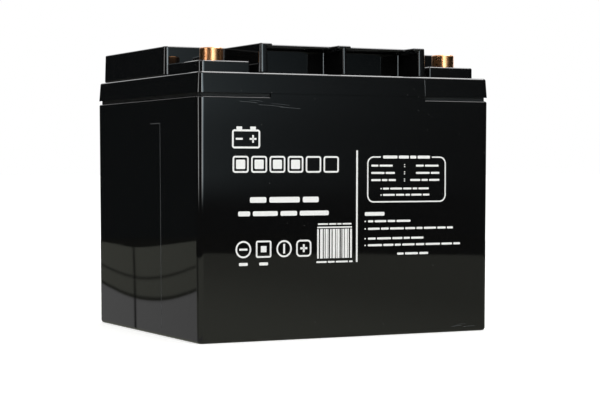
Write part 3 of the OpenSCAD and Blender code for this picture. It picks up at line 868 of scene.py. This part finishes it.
# %% [markdown]
# A black glossy case is lit by what it mirrors. Around it stands a dark wall with a tall cool light a
# little to the left, which fades to the right over the front, and a narrow light far to the left. Behind
# the battery the wall is white. The table is pale and ends before the wall. A soft light overhead to the
# right draws the fine lines on the edges. All of these glow by a formula of the place, and only mirrored
# rays see them. Angles are in degrees from the front, towards the right.

# %% What the gloss mirrors
def fade(value, low, high):
    """Smooth step from 0 at low to 1 at high: 3 t^2 - 2 t^3."""
    t = np.clip((value - low) / (high - low), 0, 1)
    return t * t * (3 - 2 * t)


def bell(value, middle, width):
    """Bell curve: exp(-((value - middle) / width)^2)."""
    return np.exp(-((value - middle) / width) ** 2)


def studio(name, points, *glows):
    """A surface from a grid of points in metres that glows to mirrored rays, by (values, tint) pairs."""
    rows, columns = points.shape[:2]
    first = (np.arange(rows - 1)[:, None] * columns + np.arange(columns - 1)[None]).ravel()
    faces = np.stack([first, first + 1, first + columns + 1, first + columns], axis=1)
    mesh = bpy.data.meshes.new(name)
    mesh.from_pydata(points.reshape(-1, 3).tolist(), [], faces.tolist())
    colours = np.ones((rows * columns, 4), np.float32)
    colours[:, :3] = sum(value.reshape(-1, 1) * np.array(tint) for value, tint in glows)
    mesh.color_attributes.new("glow", "FLOAT_COLOR", "POINT").data.foreach_set("color", colours.ravel())
    made = bpy.data.objects.new(name, mesh)
    scene.collection.objects.link(made)
    made.visible_camera = made.visible_diffuse = made.visible_shadow = False
    made.visible_transmission = made.visible_volume_scatter = False
    material = bpy.data.materials.new(name)
    material.use_nodes = True
    tree = material.node_tree
    value = add(tree, "VertexColor", layer_name="glow")
    light = add(tree, "Emission", {"Color": (value, "Color"), "Strength": 1.0})
    tree.links.new(light.outputs[0], tree.nodes["Material Output"].inputs["Surface"])
    made.data.materials.append(material)


# %% [markdown]
# The wall is a cylinder and the table a disc. Both are grids over the angle, so a light is a bell curve
# of the angle, and its edge is as soft as the curve is wide. Area lamps could do it too, but they have
# hard ends, and those show in the gloss.

# %% Wall and table
cool, neutral, warm = (0.74, 0.92, 1.0), (1.0, 1.0, 1.0), (0.97, 1.0, 0.84)
wall_r, wall_h, table_r, dark = 1.3, 1.0, 0.86, 0.015
tail_level, tail_at, tail_fall, tail_most = 0.34, 16.6, 6.35, 2.2

angle, rise = np.meshgrid(np.linspace(-180, 180, 721), np.linspace(0, 1, 50) ** 1.6)
x, y, height = wall_r * np.sin(np.radians(angle)), -wall_r * np.cos(np.radians(angle)), rise * wall_h
lifted = fade(height, 0.03, 0.085)
tail = np.minimum(tail_level * np.exp((tail_at - angle) / tail_fall), tail_most) * fade(angle, -20, -14)
tail *= 1 + 0.8 * fade(height, 0.12, 0.2)
lamps = 9.0 * bell(angle, -16, 4.5) + 8.0 * bell(angle, -75, 4)
behind = np.mod(angle, 360)
backdrop = 1.6 * fade(behind, 104, 112) * (1 - fade(behind, 188, 195))
studio("studio_wall", np.stack([x, y, height], axis=-1), (dark + tail * lifted, cool),
       (lamps * lifted + backdrop, neutral))

angle, reach = np.meshgrid(np.linspace(-180, 180, 361), np.linspace(0, wall_r, 131))
x, y = reach * np.sin(np.radians(angle)), -reach * np.cos(np.radians(angle))
table_glow = np.where(y < -0.08, 0.47 - 0.19 * fade(x, -0.08, 0.22), 0.28 - 0.14 * fade(reach, 0.35, 0.4))
table_glow = dark + table_glow * (1 - fade(reach, table_r - 0.01, table_r + 0.02))
studio("studio_table", np.stack([x, y, np.full_like(x, 0.0002)], axis=-1), (table_glow, warm))

# %% [markdown]
# The left side mirrors the table behind it at a low angle. Two sheets lie there, whose curved edges and
# the dark gap between them show in the gloss. The patch fans out from the camera's mirror image, so that
# a column of it is an upright line on the side: u is where it starts on the side, and s is the way from
# there.

# %% Sheets on the table at the left
side_x = -jar_l / 2 * MM
u, s = np.meshgrid(np.linspace(-0.14, 0.14, 401), np.linspace(0, 1.28, 321))
way_x, way_y = np.full_like(u, camera.location.x - side_x), u - camera.location.y
length = np.hypot(way_x, way_y)
near_edge = 0.232 + 22 * (u - 0.005) ** 2
far_edge = 0.475 + 30 * (u - 0.01) ** 2
table_end = 0.95 + 2.7 * np.sqrt((u - 0.02) ** 2 + 0.0004)
sheet_glow = 0.31 - 0.14 * fade(s, near_edge, near_edge + 0.01)
sheet_glow *= 1 - 0.75 * bell(s, near_edge + 0.02, 0.022) - 0.65 * bell(s, far_edge, 0.024)
sheet_glow *= 1 - 0.97 * bell(u, 0.0205, 0.002)
sheet_glow = dark + sheet_glow * (1 - fade(s, table_end - 0.02, table_end + 0.02))
patch = np.stack([side_x + s * way_x / length, u + s * way_y / length, np.full_like(u, 0.0005)], axis=-1)
paper = 1 - fade(s, near_edge, near_edge + 0.01)
studio("studio_sheets", patch, (sheet_glow * (1 - paper), warm), (sheet_glow * paper * 1.08, neutral))

# %% [markdown]
# A rounded edge on top mirrors what is overhead. One flat light there draws the line along the edge of
# the deck and of the pedestals.

# %% Light overhead
x, y = np.meshgrid(np.linspace(0.15, 0.95, 9), np.linspace(-0.5, 0.5, 9))
studio("studio_top", np.stack([x, y, np.full_like(x, 1.25)], axis=-1), (np.full_like(x, 9.0), neutral))
